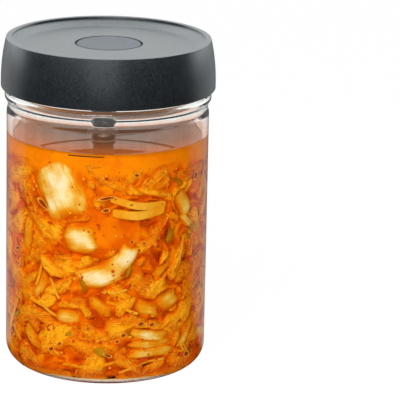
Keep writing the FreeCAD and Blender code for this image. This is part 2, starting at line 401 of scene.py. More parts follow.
def wet_food(tree, colour, roughness, shine, normal=None):
    """Ends a material of wet food: colour, with only the faint shine that is left under brine."""
    looks = {"Base Color": colour, "Roughness": roughness, "Specular IOR Level": shine}
    if normal:
        looks["Normal"] = normal
    skin = add(tree, "BsdfPrincipled", looks)
    add(tree, "OutputMaterial", {"Surface": skin})


# Wet cabbage steeped in chili paste: bright yellow-orange where a fold presses on the glass, and deeper
# and redder the further it lies in the brine, as painted shade of the cloudy brine in front. Thin brown
# creases show only in the deep parts, as painted shade in the creases.
pack, tree = new_material("packed_kimchi")
place = add(tree, "TexCoord")
depth_mm = depth_in_brine(tree)
patches = add(tree, "TexNoise", {
    "Vector": place.outputs["Object"], "Scale": 90.0, "Detail": 3.0, "Distortion": 0.6})
shade = add(tree, "Math", {0: patches, 1: 0.5, 2: -0.24}, operation="MULTIPLY_ADD")
# Painted shade: the colour darkens and reddens with depth in the brine.
level = add(tree, "Math", {0: depth_mm, 1: 0.13, 2: shade}, operation="MULTIPLY_ADD")
colour = add(tree, "ValToRGB", {0: level}, stops=[
    (0.0, "#FA9404"), (0.2, "#F48602"), (0.36, "#E66A00"), (0.6, "#D85A00"), (1.0, "#C44C00")])
# Painted crease shade: thin brown lines, fading in from 2.6 to 3.6 mm deep.
lines = add(tree, "TexNoise", {
    "Vector": place.outputs["Object"], "Scale": 210.0, "Detail": 2.0, "Distortion": 1.4})
line = add(tree, "Math", {0: lines, 1: 0.5}, operation="SUBTRACT")
thin = add(tree, "Math", {0: line}, operation="ABSOLUTE")
lower = add(tree, "MapRange", {0: depth_mm, 1: 2.6, 2: 3.6, 3: 0.0, 4: 0.7})
crease = add(tree, "MapRange", {0: thin, 1: 0.0, 2: 0.022, 3: lower, 4: 0.0})
inked = add(tree, "Mix", {0: crease, 6: colour, 7: srgb("#A84A04")}, data_type="RGBA")
wet_food(tree, inked.outputs[2], 0.55, 0.03)
packed_body = make_piece("packed_kimchi", points, faces, pack)
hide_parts("kimchi")


# ----------------------------------------------------------
# Stalks. The thick white ribs of napa cabbage, cut into plates and salted until they are limp.
# Each lies flat against the glass where it is pressed, and its edges curl back into the brine.

# Depths in mm behind the glass of the flattest and the deepest piece, and the gaps that are kept
# above the floor and below the surface of the brine.
PRESSED = 0.12
DEEPEST = 12
FLOOR_GAP = 1.2
SURFACE_GAP = 1.5


def block(length, width, thick, rows=26, around=28, square=5.0, corner=3.2):
    """Along, across and out of a rounded slab: superellipses along an outline that is one too."""
    s = np.sin(np.linspace(-1, 1, rows) * np.pi / 2)[:, None]
    shrink = np.clip(1 - np.abs(s) ** square, 0, 1) ** (1 / square)
    a = np.linspace(0, 2 * np.pi, around, endpoint=False)[None, :]
    across = np.sign(np.cos(a)) * np.abs(np.cos(a)) ** (2 / corner)
    out = np.sign(np.sin(a)) * np.abs(np.sin(a)) ** (2 / corner)
    return s * length / 2 + 0 * a, width / 2 * shrink * across, thick / 2 * shrink ** 0.7 * out


def turned_patch(u, v, place, height, tilt):
    """Distance round the wall and height of a patch, (u, v) turned by tilt degrees about its place."""
    turn = math.radians(tilt)
    s = place + u * math.cos(turn) - v * math.sin(turn)
    return s, height + u * math.sin(turn) + v * math.cos(turn)


def lay(u, v, out, place, height, tilt, depth):
    """Lays a patch on the wall, turned by tilt degrees; what would pass the glass is pressed flat."""
    s, z = turned_patch(u, v, place, height, tilt)
    z = np.clip(z, FLOOR + FLOOR_GAP, BRINE_LEVEL - SURFACE_GAP)
    return on_wall(s, z, np.clip(depth - out, PRESSED, DEEPEST))


def join(parts, shift=0.0):
    """Points, faces and surface marks of many grids, each given as its points, u and v.

    A mark is (u, v) in mm; shift moves each grid's pattern on by so much, so that no two are alike.
    """
    start = np.cumsum([0] + [u.size for _, u, _ in parts])
    points = np.vstack([spot.reshape(-1, 3) for spot, _, _ in parts])
    faces = np.vstack([grid_faces(*u.shape) + first for (_, u, _), first in zip(parts, start)])
    marks = np.vstack([
        np.stack((u + shift * k, v), -1).reshape(-1, 2) for k, (_, u, v) in enumerate(parts)])
    return points, faces, marks


def further(dice, count, place, height, *spans):
    """Pieces for the sides and the back: (place, height) and a roll of the dice within each span.

    Place and height are given as first, step and range: piece k is at first + k step mod range.
    """
    return [
        (place[0] + (k * place[1]) % place[2], height[0] + (k * height[1]) % height[2],
         *(dice.uniform(*span) for span in spans))
        for k in range(count)
    ]


# place along the wall and height, length, width, thickness, tilt, depth of the middle, curl, bow
FRONT_STALKS = [
    (-26.5, 107.0, 37, 34, 3.0, -66, 0.0, 4.6, 0),
    (-14, 81.5, 20, 18, 3.0, 6, 0.5, 3.4, 0),
    (0, 62.5, 36, 16, 3.0, 22, 0.3, 3.4, 6.0),
    (10.5, 71, 15, 12, 2.6, 62, 0.15, 2.6, 0),
    (46, 96.5, 17, 11, 3.0, -58, 0.7, 2.4, 1.0),
    (50, 86, 14, 6, 2.0, -40, 1.0, 1.6, 0.6),
    (24, 27.4, 26, 7.4, 2.2, -10, 0.8, 2.4, 1.0),
    (25.5, 22.6, 25, 6.4, 2.0, -5, 1.2, 2.2, 0.6),
    (26, 17.8, 27, 7.0, 2.2, -2, 0.9, 2.4, -0.5),
    (-20, 38, 17, 10, 3.0, 4, 1.3, 2.4, 0),
    (36, 45.5, 16, 13, 4.0, 20, 1.3, 2.8, 0),
    (51, 24, 20, 5.6, 2.2, 50, 0.9, 1.4, 1.0),
    (-48, 78, 22, 9, 3.0, 80, 1.3, 2.0, 1.2),
    (-44, 22, 18, 9, 3.0, -50, 1.4, 2.0, 1.0),
    (33, 64, 16, 6, 2.2, 42, 1.5, 1.6, 1.0),
    (23, 42, 17, 10, 2.6, -16, 1.5, 2.2, 1.0),
    (-38, 52, 18, 8, 2.4, 64, 1.4, 2.0, 1.4),
    (-3, 44, 15, 8, 2.6, -30, 1.6, 2.2, 0.8),
]
dice = np.random.default_rng(31)
stalks = FRONT_STALKS + further(
    dice, 34, (66, 5.6, 190), (20, 37.7, 88),
    (13, 32), (7, 20), (2.5, 4.5), (-80, 80), (0.1, 1.6), (1.4, 3.6), (-2, 2))
parts = []
for place, height, length, width, thick, tilt, deep, curl, bow in stalks:
    u, v, out = block(length, width, thick)
    # One side of a plate is wider, its edges wave and it bows; end runs from -1 to 1 along it.
    lean = dice.uniform(-0.25, 0.25)
    end = 2 * u / length
    v = v * (1 + lean * 2 * u / length) + 0.06 * width * np.sin(u * 6 / length + place) + bow * end ** 2
    ends = 0.05 * length * np.sin(v * 9 / width + place)
    fibre = 0.05 * np.sin(v * 2 * np.pi / 1.9 + 0.5 * np.sin(u / 3))
    fibre += 0.03 * np.sin(v * 2 * np.pi / 0.8 + u / 5)
    frayed = 1 + 0.5 * uneven(u * 0.3 + 9 * place, v + 60, 2.6, 41)
    sunk = curl * frayed * (np.abs(2 * (v - bow * end ** 2) / width) ** 3 + 0.8 * np.abs(end) ** 4)
    wavy = 0.35 * np.sin(u / 4.1 + v / 3.3 + place)
    depth = deep + thick / 2 + sunk + wavy
    spot = lay(u + ends * end ** 2, v, out + fibre, place, height, tilt, depth)
    parts.append((spot, u, v))
points, faces, marks = join(parts, 37.0)


def steeped(tree, stops, drift, reach):
    """Painted shade by depth in the brine: drift shifts it, and reach is the depth in mm of the last stop.
    """
    deep = depth_in_brine(tree)
    level = add(tree, "Math", {0: deep, 1: 1 / reach, 2: drift}, operation="MULTIPLY_ADD")
    return add(tree, "ValToRGB", {0: level}, stops=stops)


# Salted cabbage rib: cream and streaked by its fibres, painted more orange the deeper it lies, as painted
# shade of the brine in front.
rib, tree = new_material("cabbage_rib")
marks_node = add(tree, "UVMap", uv_map="surface")
along = add(tree, "Mapping", {0: marks_node, "Scale": (0.05, 0.9, 1)})
streak = add(tree, "TexNoise", {"Vector": along, "Scale": 1.0, "Detail": 4.0, "Roughness": 0.6})
tones = add(tree, "TexNoise", {"Vector": marks_node, "Scale": 0.11, "Detail": 2.0})
tone = add(tree, "Math", {0: tones, 1: 0.9, 2: -0.45}, operation="MULTIPLY_ADD")
drift = add(tree, "Math", {0: streak, 1: 0.55, 2: tone}, operation="MULTIPLY_ADD")
drift = add(tree, "Math", {0: drift, 1: 0.27}, operation="SUBTRACT")
colour = steeped(tree, [
    (0.0, "#F4E0BC"), (0.18, "#EEC47A"), (0.36, "#E8A02C"), (0.6, "#E28408"), (1.0, "#DC6A00"),
], drift, 3.4)
bump = add(tree, "Bump", {"Strength": 0.3, "Distance": 0.0003, "Height": streak})
wet_food(tree, colour, 0.4, 0.05, bump)
make_piece("cabbage_stalks", points, faces, rib, marks)


# ----------------------------------------------------------
# Leaves. The thin yellow blades of the cabbage, wilted and crumpled. They lie in two layers, large ones
# and torn tips, and their edges sink under their neighbours into deeper brine, where the brine's
# absorption and painted depth shade darken them.

LEAF_THICK = 0.8
# The way round the wall, in round mm.
ROUND = 320
# What lies on the glass in front of the leaves: place, height, length, width and tilt.
ON_GLASS = [(place, height, 0.92 * length, 0.92 * width, tilt)
            for place, height, length, width, _, tilt, *_ in FRONT_STALKS]
ON_GLASS += [(17, 98, 34, 13, -5), (26, 22.5, 26, 12, -5), (CALM[0] + 3, CALM[1] + 1, 26, 16, 0)]
# How much deeper, in mm, a leaf is laid behind these.
ROOM = 3.0


def ridges(u, v, cell, seed):
    """Crumpled relief, up to 1: 1 - 2.2 |field|, a net of sharp crests between rounded hollows."""
    bent_u = u + 0.45 * cell * uneven(u, v, 1.3 * cell, seed + 1)
    bent_v = v + 0.45 * cell * uneven(u, v, 1.3 * cell, seed + 2)
    return 1 - 2.2 * np.abs(uneven(bent_u, bent_v, cell, seed))


def leaf(length, width, high, fall, seed, rows, front, rear):
    """Along, across and out of a closed blade. Its front is folded and crumpled, its back smooth.

    The blade narrows to points at s = -1 and 1. It falls away from the glass with the third power
    of the distance from its middle line, so that its edges sink under its neighbours.
    """
    s = np.linspace(-1, 1, rows)[:, None]
    t = np.concatenate((np.linspace(-1, 1, front), np.linspace(1, -1, rear)))[None, :]
    back = np.concatenate((np.zeros(front), np.ones(rear)))[None, :]
    narrow = np.sqrt(np.clip(1 - s ** 4, 0, 1))
    u = s * length / 2 + 0 * t
    ragged = 1 + 0.25 * uneven(u, 0 * t + 90, 5, seed + 4)
    v = t * width / 2 * narrow * ragged + 1.6 * np.sin(s * 2.2 + seed)
    folds = ridges(u / 3.2, v + 60, 2.8, seed)
    crimps = ridges(u / 1.5, v + 60, 1.7, seed + 7)
    out = high * narrow * (0.8 * folds + 0.5 * crimps) * (1 - back)
    return u, v, out - fall * (np.abs(t) ** 3 + 0.7 * s ** 6) - LEAF_THICK * narrow * back


def room_kept(s, z):
    """Extra depth behind what lies on the glass: ROOM in a soft-edged superellipse, 0 outside."""
    extra = 0 * s
    for place, height, length, width, tilt in ON_GLASS:
        turn = math.radians(tilt)
        along = ((s - place) * math.cos(turn) + (z - height) * math.sin(turn)) * 2 / length
        across = ((z - height) * math.cos(turn) - (s - place) * math.sin(turn)) * 2 / width
        near = (np.abs(along) ** 3 + np.abs(across) ** 3) ** (1 / 3)
        extra = np.maximum(extra, np.clip((1.2 - near) / 0.35, 0, 1) * ROOM)
    return extra


def scatter(seed, rows, columns, low, high):
    """Dice, place and height of each piece on a jittered brick lattice, all round the wall."""
    dice = np.random.default_rng(seed)
    for row in range(rows):
        for column in range(columns):
            place = (column + 0.5 * (row % 2) - columns / 2) * ROUND / columns + dice.uniform(-5, 5)
            height = low + (high - low) * row / (rows - 1) + dice.uniform(-4, 4)
            yield dice, place, height


def leaves_on_wall(seed, places, lengths, widths, reliefs, deeps, falls, grid):
    """A joined set of leaves: places is the lattice they lie on, grid the rows and columns of one."""
    parts = []
    for dice, place, height in scatter(seed, *places, 9, 113):
        length, width, fall = dice.uniform(*lengths), dice.uniform(*widths), dice.uniform(*falls)
        relief, deep, tilt = dice.uniform(*reliefs), dice.uniform(*deeps), dice.uniform(-65, 65)
        u, v, out = leaf(length, width, relief, fall, seed + 11 * len(parts), *grid)
        room = room_kept(*turned_patch(u, v, place, height, tilt))
        spot = lay(u, v, out, place, height, tilt, deep + room)
        parts.append((spot, u, v))
    return join(parts, 41.0)


# Wilted cabbage blade: yellow-orange and veined, painted deeper and redder with depth as painted shade of
# the brine in front, with thin painted fold lines: a brown line of painted shade beside a pale line of
# painted highlight.
blade, tree = new_material("wilted_leaf")
marks_node = add(tree, "UVMap", uv_map="surface")
veins = add(tree, "TexVoronoi", {"Vector": marks_node, "Scale": 0.42}, feature="DISTANCE_TO_EDGE")
vein = add(tree, "MapRange", {0: veins.outputs["Distance"], 1: 0.0, 2: 0.09, 3: 1.0, 4: 0.0})
mottle = add(tree, "TexNoise", {"Vector": marks_node, "Scale": 0.16, "Detail": 3.0})
tones = add(tree, "TexNoise", {"Vector": marks_node, "Scale": 0.035, "Detail": 0.0})
tone = add(tree, "Math", {0: tones, 1: 1.1, 2: -0.55}, operation="MULTIPLY_ADD")
drift = add(tree, "Math", {0: mottle, 1: 0.9, 2: tone}, operation="MULTIPLY_ADD")
drift = add(tree, "Math", {0: drift, 1: 0.45}, operation="SUBTRACT")
colour = steeped(tree, [
    (0.0, "#F8A818"), (0.22, "#EC9008"), (0.45, "#E27A02"), (0.72, "#D46400"), (1.0, "#C25200"),
], drift, 3.4)
veined = add(tree, "Mix", {0: vein, 6: colour, 7: srgb("#F8B040")}, data_type="RGBA",
             blend_type="SOFT_LIGHT")
# Painted fold lines: a brown line of painted shade, with a pale line of painted highlight just beside it.
along = add(tree, "Mapping", {0: marks_node, "Scale": (0.16, 0.42, 1)})
curls = add(tree, "TexNoise", {"Vector": along, "Scale": 1.0, "Detail": 2.0, "Distortion": 1.2})
off_line = add(tree, "Math", {0: curls, 1: 0.5}, operation="SUBTRACT")
dark = add(tree, "Math", {0: off_line}, operation="ABSOLUTE")
dark_line = add(tree, "MapRange", {0: dark, 1: 0.0, 2: 0.04, 3: 0.7, 4: 0.0})
beside = add(tree, "Math", {0: off_line, 1: 0.05}, operation="SUBTRACT")
bright = add(tree, "Math", {0: beside}, operation="ABSOLUTE")
bright_line = add(tree, "MapRange", {0: bright, 1: 0.0, 2: 0.03, 3: 0.6, 4: 0.0})
torn = add(tree, "Mix", {0: dark_line, 6: veined.outputs[2], 7: srgb("#A85400")}, data_type="RGBA")
edged = add(tree, "Mix", {0: bright_line, 6: torn.outputs[2], 7: srgb("#F8B83C")}, data_type="RGBA")
wet_food(tree, edged.outputs[2], 0.45, 0.05)

points, faces, marks = leaves_on_wall(
    100, (8, 11), (20, 36), (10, 18), (0.4, 1.0), (0.4, 1.6), (1.6, 2.8), (38, 22, 6))
make_piece("cabbage_leaves", points, faces, blade, marks)
points, faces, marks = leaves_on_wall(
    700, (10, 14), (10, 24), (5, 11), (0.25, 0.65), (0.5, 1.7), (1.2, 2.4), (26, 15, 5))
make_piece("leaf_tips", points, faces, blade, marks)


# ----------------------------------------------------------
# Strips. Radish and cabbage cut into narrow batons, pale and square at their ends.

# place along the wall and height, length, width, thickness, tilt, depth
FRONT_STRIPS = [
    (17.2, 100.4, 31, 4.2, 1.8, -9, 0.3),
    (17.5, 95.2, 29, 4.8, 1.8, -1, 0.35),
    (-28, 52.5, 12, 1.4, 0.9, -56, 0.5),
    (42, 68, 24, 1.6, 1.1, 66, 0.6),
    (-38, 60, 18, 1.8, 1.2, 70, 1.2),
    (9, 44, 18, 1.8, 1.2, -20, 1.0),
    (4, 53, 16, 1.5, 1.0, 10, 0.9),
    (-8, 12, 30, 1.6, 1.0, 6, 0.9),
    (20, 11.5, 26, 1.2, 0.9, 10, 0.7),
    (-33, 41, 15, 1.6, 1.0, -35, 0.9),
]
dice = np.random.default_rng(12)
strips = FRONT_STRIPS + further(
    dice, 60, (50, 7.9, 220), (14, 29.3, 98), (9, 28), (1.0, 3.2), (0.9, 1.8), (-85, 85), (0.5, 2.2))
parts = []
for place, height, length, width, thick, tilt, deep in strips:
    u, v, out = block(length, width, thick, 26, 10, 9.0, 3.6)
    v = v + 0.035 * length * np.sin(u * 5 / length + place)
    bend = 0.5 * np.sin(u / 3.7 + place)
    spot = lay(u, v, out, place, height, tilt, deep + thick / 2 + bend)
    parts.append((spot, u, v))
points, faces, marks = join(parts, 29.0)

# Salted radish: pale yellow, a little glassy, stained orange by the paste, and painted deeper orange with
# depth as painted shade of the brine in front.
radish, tree = new_material("salted_radish")
marks_node = add(tree, "UVMap", uv_map="surface")
mottle = add(tree, "TexNoise", {"Vector": marks_node, "Scale": 0.3, "Detail": 3.0})
drift = add(tree, "Math", {0: mottle, 1: 0.8, 2: -0.4}, operation="MULTIPLY_ADD")
colour = steeped(
    tree, [(0.0, "#ECA830"), (0.35, "#E69210"), (0.65, "#E07C04"), (1.0, "#D66400")], drift, 3.6)
wet_food(tree, colour, 0.35, 0.05)
make_piece("radish_strips", points, faces, radish, marks)


# ----------------------------------------------------------
# Chili. Coarse red flakes and slivers of fresh chili, and the round pale seeds among them.

# place, height, length, width, tilt, depth
FRONT_CHILI = [
    (32.7, 85, 9, 2.0, 44, 0.4), (26, 76.5, 8, 2.2, 17, 0.4), (24, 71, 5, 1.6, -40, 0.4),
    (-30, 30, 5, 4.0, 10, 0.4), (-41, 15, 6, 2.4, -25, 1.0), (9, 62, 2.4, 1.2, 30, 0.6),
    (-6, 41, 3, 2, 60, 0.3), (30, 40.5, 3, 1.6, 55, 0.3), (44, 34, 5, 2.0, 70, 0.8),
    (20, 13.5, 7, 2.2, 12, 0.4), (-12, 61, 3.5, 1.6, 40, 0.4), (12, 56, 6, 2.0, 25, 0.9),
    (-2, 52, 4, 1.5, -30, 0.6), (-26, 61, 6, 2.4, -35, 0.7), (-31, 88, 3, 1.2, -30, 0.3),
]
dice = np.random.default_rng(5)
slivers = FRONT_CHILI + further(
    dice, 70, (46, 9.7, 228), (12, 23.9, 104), (2, 8), (1.2, 3.4), (-90, 90), (0.3, 1.6))
parts = []
for place, height, length, width, tilt, deep in slivers:
    u, v, out = block(length, width, 0.9, 12, 10, 3.0, 2.4)
    v = v + 0.12 * length * np.sin(u * 4 / length + place)
    spot = lay(u, v, out, place, height, tilt, deep + 0.45 + 0.3 * np.sin(u + place))
    parts.append((spot, u, v))
for k in range(900):
    size = dice.uniform(0.5, 1.5) * (1 if k % 5 else 1.5)
    u, v, out = block(size, size * dice.uniform(0.5, 1.0), 0.35, 5, 6, 2.2, 2.0)
    place, height = dice.uniform(-ROUND / 2, ROUND / 2), dice.uniform(6, 121)
    spot = lay(u, v, out, place, height, dice.uniform(0, 180), dice.uniform(0.25, 1.7))
    parts.append((spot, u, v))
points, faces, marks = join(parts, 17.0)

# Dried chili skin: deep red to orange-red, a little glossy where it is wet.
chili, tree = new_material("chili_skin")
marks_node = add(tree, "UVMap", uv_map="surface")
mottle = add(tree, "TexNoise", {"Vector": marks_node, "Scale": 0.21, "Detail": 2.0})
colour = add(tree, "ValToRGB", {0: mottle}, stops=[
    (0.3, "#A01C00"), (0.5, "#CC4002"), (0.7, "#E65C06")])
wet_food(tree, colour, 0.3, 0.1)
make_piece("chili_flakes", points, faces, chili, marks)

# Chili seeds: flat, round and pale yellow, stained at their edge.
dice = np.random.default_rng(19)
parts = []
for k in range(120):
    size = dice.uniform(0.9, 1.7)
    u, v, out = block(size, size * dice.uniform(0.7, 0.95), 0.5, 7, 10, 2.2, 2.2)
    place, height = dice.uniform(-ROUND / 2, ROUND / 2), dice.uniform(7, 119)
    spot = lay(u, v, out, place, height, dice.uniform(0, 180), dice.uniform(0.3, 1.2))
    parts.append((spot, u, v))
points, faces, marks = join(parts)
husk, tree = new_material("chili_seed_husk")
marks_node = add(tree, "UVMap", uv_map="surface")
length = add(tree, "VectorMath", {0: marks_node}, operation="LENGTH")
colour = add(tree, "ValToRGB", {0: length.outputs["Value"]}, stops=[
    (0.0, "#F4B850"), (0.5, "#EEA02C"), (0.85, "#DC8008")])
wet_food(tree, colour, 0.4, 0.1)
make_piece("chili_seeds", points, faces, husk, marks)


# ----------------------------------------------------------
# Greens. Pieces of scallion and outer leaf, gone olive in the brine.

# place along the wall and height, length, width, tilt, depth
FRONT_GREENS = [
    (38, 84, 15, 5, 52, 1.5), (-3, 19.5, 6, 5.5, 30, 0.5), (-22, 29, 8, 4, 10, 0.9),
    (-18, 63, 27, 3.4, -58, 1.6), (12, 66, 12, 2.4, 70, 1.6), (-34, 44, 12, 3.4, 30, 1.4),
    (40, 111, 12, 4.5, -30, 1.8), (14, 29, 5, 4, -40, 1.2),
]
dice = np.random.default_rng(8)
greens = FRONT_GREENS + further(
    dice, 44, (52, 13.1, 216), (14, 31.7, 98), (4, 16), (2, 6), (-90, 90), (0.5, 1.9))
parts = []
for place, height, length, width, tilt, deep in greens:
    u, v, out = block(length, width, 0.7, 20, 14, 2.6, 2.6)
    v = v + 0.08 * length * np.sin(u * 4.5 / length + place)
    bend = 0.6 * np.sin(u / 2.2 + place) + 0.3 * np.sin(v * 1.6)
    spot = lay(u, v, out, place, height, tilt, deep + 0.4 + bend)
    parts.append((spot, u, v))
points, faces, marks = join(parts, 23.0)

# Pickled green: olive, painted browner with depth as painted shade of the brine in front, with paler veins
# along it.
olive, tree = new_material("pickled_green")
marks_node = add(tree, "UVMap", uv_map="surface")
along = add(tree, "Mapping", {0: marks_node, "Scale": (0.12, 1.4, 1)})
streak = add(tree, "TexNoise", {"Vector": along, "Scale": 1.0, "Detail": 3.0})
drift = add(tree, "Math", {0: streak, 1: 0.9, 2: -0.4}, operation="MULTIPLY_ADD")
colour = steeped(
    tree, [(0.0, "#B8860E"), (0.3, "#B07408"), (0.6, "#AC6004"), (1.0, "#A45002")], drift, 3.5)
wet_food(tree, colour, 0.4, 0.05)
make_piece("pickled_greens", points, faces, olive, marks)


# ----------------------------------------------------------
# Gas. Fermentation leaves flat pockets of gas between the cabbage and the glass. Each is a thin shell
# coloured with painted light: painted shade, dark inside, and a painted reflection as a pale rim where the
# brine curves round it.

# place along the wall and height, length, width, tilt
FRONT_POCKETS = [
    (-35.3, 97.5, 8.5, 3.4, -32), (0.5, 104.2, 9.5, 1.9, 8), (-0.3, 97.6, 4.4, 2.2, 0),
    (13.3, 80.3, 2.2, 1.8, 20), (18.9, 34.7, 4.4, 2.4, 4), (25.1, 33.6, 3.4, 2.3, -5),
    (-29.5, 18.8, 3.6, 2.8, 40), (9.6, 29, 3.2, 2.8, 50), (1.5, 18, 4.4, 2.2, -20),
    (15.4, 116.2, 2.6, 2.2, 10), (-24.5, 22.5, 2.6, 2.0, 20), (6.3, 25.8, 2.4, 2.2, 0),
    (14, 100.5, 5, 1.4, 12), (20, 79, 1.8, 1.4, 0), (-9, 33, 2.0, 1.2, 30),
]
POCKET_DEPTH = 0.16
POCKET_HOLLOW = 0.5
dice = np.random.default_rng(77)
pockets = FRONT_POCKETS + [
    (place, height, size, size * share, tilt) for place, height, size, share, tilt in further(
        dice, 46, (50, 11.3, 220), (12, 41.3, 104), (1.4, 6.5), (0.35, 0.9), (-60, 60))]
s, a = np.meshgrid(np.linspace(0, 1, 9), np.linspace(0, 2 * np.pi, 28, endpoint=False), indexing="ij")
parts = []
for place, height, length, width, tilt in pockets:
    rough = 1 + 0.13 * np.sin(2 * a + place) + 0.08 * np.sin(3 * a + height)
    taper = 1 - 0.35 * np.cos(a) * (length > 5)
    u, v = s * length / 2 * np.cos(a) * rough, s * width / 2 * np.sin(a) * rough * taper
    top = lay(u, v, 0 * u, place, height, tilt, POCKET_DEPTH)
    back = POCKET_DEPTH + POCKET_HOLLOW * (1 - s[::-1] ** 2)
    low = lay(u[::-1], v[::-1], 0 * u, place, height, tilt, back)
    from_middle = np.concatenate((s, s[::-1]))
    parts.append((np.concatenate((top, low)), from_middle, 0 * from_middle))
points, faces, marks = join(parts)

# Gas behind glass, painted: brown painted shade over the middle, and a pale line of painted reflection at
# the edge.
gas, tree = new_material("gas_pocket")
marks_node = add(tree, "UVMap", uv_map="surface")
apart = add(tree, "SeparateXYZ", {0: marks_node})
colour = add(tree, "ValToRGB", {0: apart.outputs["X"]}, stops=[
    (0.0, "#7E3002"), (0.66, "#923C04"), (0.8, "#E89028"), (0.92, "#F8AC48"), (1.0, "#E88010")])
wet_food(tree, colour, 0.6, 0.05)
make_piece("gas_pockets", points, faces, gas, marks)


# ----------------------------------------------------------
# Lid. Injection-moulded charcoal plastic with a fine matt grain: a skirt with a barrel side, a
# narrow rim with a sloping step inside it, and a dished plate with a hollow for the valve.

LID_TOP = LID_BOX[1].z / MM
LID_OUT = LID_BOX[1].x / MM
SIDE_STRAIGHT = 3.2
EDGE_ROUND = 0.8
SIDE_TAPER = 2.75
RIM_WIDTH = 2.8
RIM_STEP = 1.3
STEP_SLOPE = 0.5
DISH = 3.4
DISH_FILLET = 6.0
PLATE = 3.2
SKIRT_CLEARANCE = 0.4
VALVE_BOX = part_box("valve_disc")
VALVE = VALVE_BOX[1].x / MM
VALVE_FLOOR = VALVE_BOX[0].z / MM
VALVE_GAP = 1.0
EDGE_BREAK = 0.3
LID_STEPS = 256

plate_top = LID_TOP - DISH
plate_under = plate_top - PLATE
rim_out = LID_OUT - SIDE_TAPER
rim_in = rim_out - RIM_WIDTH
step_in = rim_in - STEP_SLOPE
side_low = LID_LOW + SIDE_STRAIGHT
side_height = LID_TOP - side_low
side_radius = (side_height ** 2 + SIDE_TAPER ** 2) / (2 * SIDE_TAPER)
side_sweep = math.degrees(math.asin(side_height / side_radius))
t = np.radians(np.linspace(0, 90, 14))
dish_rise = (DISH - RIM_STEP) * (1 - np.cos(t))
dish = np.column_stack((step_in - DISH_FILLET * np.cos(t), plate_top + dish_rise))
pocket = VALVE + VALVE_GAP
lid_outline = np.vstack((
    [(0, VALVE_FLOOR), (pocket, VALVE_FLOOR)],
    arc((pocket + EDGE_BREAK, plate_top - EDGE_BREAK), EDGE_BREAK, 180, 90, 5),
    [(pocket + 3, plate_top), (step_in - DISH_FILLET - 4, plate_top)],
    dish,
    arc((rim_in + 0.02, LID_TOP - EDGE_BREAK), EDGE_BREAK, 180, 90, 5),
    [(rim_in + 1.0, LID_TOP), (rim_out - 0.6, LID_TOP)],
    arc((LID_OUT - side_radius, side_low), side_radius, side_sweep - 0.15, 0, 24),
    [(LID_OUT, LID_LOW + EDGE_ROUND + 0.2)],
    arc((LID_OUT - EDGE_ROUND, LID_LOW + EDGE_ROUND), EDGE_ROUND, 0, -90, 8),
    [(NECK + SKIRT_CLEARANCE, LID_LOW), (NECK + SKIRT_CLEARANCE, plate_under), (0, plate_under)],
))
points, faces = turned(lid_outline, LID_STEPS)

# Polypropylene from a spark-eroded mould: near-black, with a grain drawn 0.5 mm coarse to show.
charcoal, tree = new_material("grained_polypropylene")
place = add(tree, "TexCoord")
grain = add(tree, "TexNoise", {"Vector": place.outputs["Object"], "Scale": 2100.0, "Detail": 1.0})
fleck = add(tree, "ValToRGB", {0: grain}, stops=[(0.44, "#0A0A0B"), (0.68, "#3C3D40")])
bump = add(tree, "Bump", {"Strength": 0.35, "Distance": 0.0001, "Height": grain})
skin = add(tree, "BsdfPrincipled", {
    "Base Color": fleck, "Roughness": 0.4, "IOR": 1.5, "Coat Weight": 1.0, "Coat Roughness": 0.28,
    "Specular Tint": srgb("#E2ECF0"), "Coat Tint": srgb("#E8F4F8"), "Normal": bump})
add(tree, "OutputMaterial", {"Surface": skin})
cap = make_piece("lid_cap", points, faces, charcoal, crease=30)
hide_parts("lid")


# ----------------------------------------------------------
# Valve. A flat disc of silicone that lies flush in the lid and lets gas out past its edge.

VALVE_TOP = VALVE_BOX[1].z / MM
VALVE_ROUND = 0.7
outline = np.vstack((
    [(0, VALVE_FLOOR), (VALVE, VALVE_FLOOR)],
    arc((VALVE - VALVE_ROUND, VALVE_TOP - VALVE_ROUND), VALVE_ROUND, 0, 90, 6),
    [(VALVE - 3, VALVE_TOP), (0, VALVE_TOP)],
))
points, faces = turned(outline, 128)

# Silicone rubber: matt, a shade bluer than the lid, with a cloudy bloom from handling.
silicone, tree = new_material("silicone_rubber")
place = add(tree, "TexCoord")
bloom = add(tree, "TexNoise", {"Vector": place.outputs["Object"], "Scale": 260.0, "Detail": 4.0})
shade = add(tree, "ValToRGB", {0: bloom}, stops=[(0.3, "#1E2328"), (0.7, "#30373E")])
bump = add(tree, "Bump", {"Strength": 0.4, "Distance": 0.0002, "Height": bloom})
skin = add(tree, "BsdfPrincipled", {
    "Base Color": shade, "Roughness": 0.45, "Coat Weight": 0.6, "Coat Roughness": 0.4,
    "Coat Tint": srgb("#DCECF6"), "Normal": bump})
add(tree, "OutputMaterial", {"Surface": skin})
disc = make_piece("valve", points, faces, silicone, crease=30)
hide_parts("valve_disc")


# ----------------------------------------------------------
# Press. A black plastic stem under the lid ends in a turned steel knob that dips into the brine
# and shows, by the level on it, how far the cabbage is covered.

STEM_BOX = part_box("press_stem")
KNOB_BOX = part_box("press_knob")
PRESS_X = (STEM_BOX[0].x + STEM_BOX[1].x) / 2 / MM
STEM = (STEM_BOX[1].x - STEM_BOX[0].x) / 2 / MM
STEM_LOW = STEM_BOX[0].z / MM
STEM_TOP = STEM_BOX[1].z / MM
KNOB = (KNOB_BOX[1].x - KNOB_BOX[0].x) / 2 / MM
KNOB_LOW = KNOB_BOX[0].z / MM
KNOB_TOP = KNOB_BOX[1].z / MM
# The stem narrows by STEM_STEP over its last STEM_NECK mm. The knob has a flat top of radius
# KNOB_FLAT, slopes out over KNOB_SIDE, and curves back under in KNOB_BOWL to its shank.
STEM_NECK = 10.0
STEM_STEP = 1.3
STEM_ROUND = 0.5
KNOB_FLAT = 6.2
KNOB_ROUND = 0.2
KNOB_SIDE = 2.0
KNOB_BOWL = 1.8
SHANK = 4.85
SHANK_ROUND = 0.4

